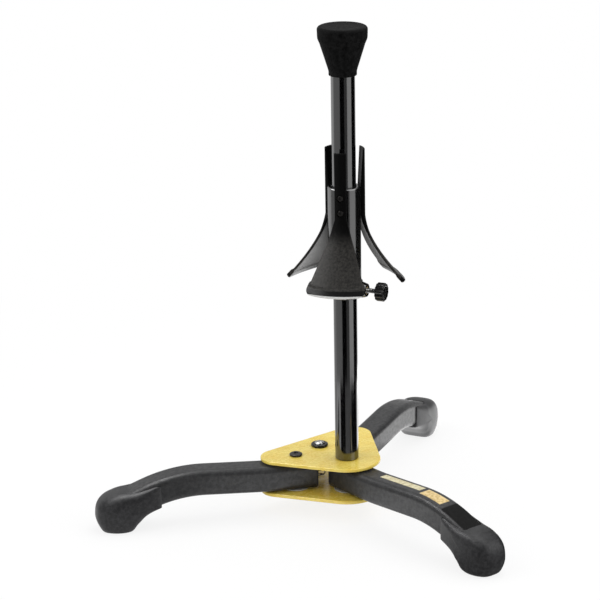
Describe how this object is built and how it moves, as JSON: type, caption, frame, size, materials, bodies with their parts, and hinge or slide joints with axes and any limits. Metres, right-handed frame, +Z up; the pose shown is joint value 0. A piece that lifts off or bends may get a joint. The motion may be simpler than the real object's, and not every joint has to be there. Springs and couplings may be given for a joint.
{
  "type": "soprano saxophone stand",
  "caption": "Folding tripod floor stand with rubber-footed legs, a pole with a rubber head and a sliding, clamped peg whose flared fins hold a straight saxophone by its bell.",
  "frame": {"origin": "on the floor under the middle of the footprint of the opened stand", "axes": "+Z up along the pole, -Y towards the fixed front leg, +X to the right of the front leg seen from the front"},
  "size_m": [0.306, 0.2436, 0.3395],
  "materials": {
    "black_powder_coat": "satin black powder coat on steel tube",
    "yellow_enamel": "yellow enamel on pressed steel plate",
    "black_rubber": "matte moulded rubber",
    "black_nylon": "satin moulded nylon",
    "black_oxide_steel": "black oxide",
    "zinc_steel": "zinc plated",
    "brass": "turned",
    "white_nylon": "natural nylon"
  },
  "bodies": {
    "base": {"pole": "black_powder_coat", "pole_plug": "zinc_steel", "pole_bolt": "black_oxide_steel", "head_cap": "black_rubber", "top_plate": "yellow_enamel", "bottom_plate": "yellow_enamel", "front_leg": "black_powder_coat", "front_foot": "black_rubber", "front_leg_screw": "black_oxide_steel", "left_pivot_bolt": "black_oxide_steel", "right_pivot_bolt": "black_oxide_steel", "left_pivot_nut": "zinc_steel", "right_pivot_nut": "zinc_steel", "lock_bezel": "black_nylon", "lock_spring": "zinc_steel", "front_spacer": "zinc_steel", "left_spacer": "zinc_steel", "right_spacer": "zinc_steel", "front_upper_washer": "white_nylon", "front_lower_washer": "white_nylon", "left_upper_washer": "white_nylon", "left_lower_washer": "white_nylon", "right_upper_washer": "white_nylon", "right_lower_washer": "white_nylon"},
    "left_leg_arm": {"left_leg": "black_powder_coat", "left_foot": "black_rubber"},
    "right_leg_arm": {"right_leg": "black_powder_coat", "right_foot": "black_rubber"},
    "lock": {"lock_button": "zinc_steel"},
    "bell_peg": {"peg_sleeve": "black_nylon", "front_fin": "black_nylon", "right_fin": "black_nylon", "left_fin": "black_nylon", "clamp_insert": "brass", "front_fin_screw_1": "black_oxide_steel", "front_fin_screw_2": "black_oxide_steel", "left_fin_screw_1": "black_oxide_steel", "left_fin_screw_2": "black_oxide_steel", "right_fin_screw_1": "black_oxide_steel", "right_fin_screw_2": "black_oxide_steel"},
    "clamp_shoe": {"clamp_pad": "brass"},
    "clamp_screw": {"clamp_stud": "zinc_steel", "clamp_knob": "black_nylon"}
  },
  "joints": [
    {"name": "left_leg_swivel", "type": "hinge", "parent": "base", "child": "left_leg_arm", "pos_m": [-0.024, 0.05439, 0.027], "axis": [0, 0, 1], "range_deg": [0, 112]},
    {"name": "right_leg_swivel", "type": "hinge", "parent": "base", "child": "right_leg_arm", "pos_m": [0.024, 0.05439, 0.027], "axis": [0, 0, -1], "range_deg": [0, 112]},
    {"name": "lock_press", "type": "slide", "parent": "base", "child": "lock", "axis": [0, 0, -1], "range_m": [0, 0.0025], "stiffness_N_per_m": 800, "springref_m": -0.001, "deforming": ["lock_spring"]},
    {"name": "peg_height", "type": "slide", "parent": "base", "child": "bell_peg", "axis": [0, 0, 1], "range_m": [-0.112, 0.048]},
    {"name": "clamp_pad_slide", "type": "slide", "parent": "bell_peg", "child": "clamp_shoe", "axis": [0.4695, -0.8829, 0], "range_m": [0, 0.0014]},
    {"name": "clamp_turn", "type": "hinge", "parent": "clamp_shoe", "child": "clamp_screw", "pos_m": [0, 0.02839, 0.161], "axis": [0.4695, -0.8829, 0], "range_deg": [0, 720]}
  ],
  "couplings": [
    {"joint": "clamp_turn", "follows": "clamp_pad_slide", "rad_per_m": 8975.9}
  ]
}
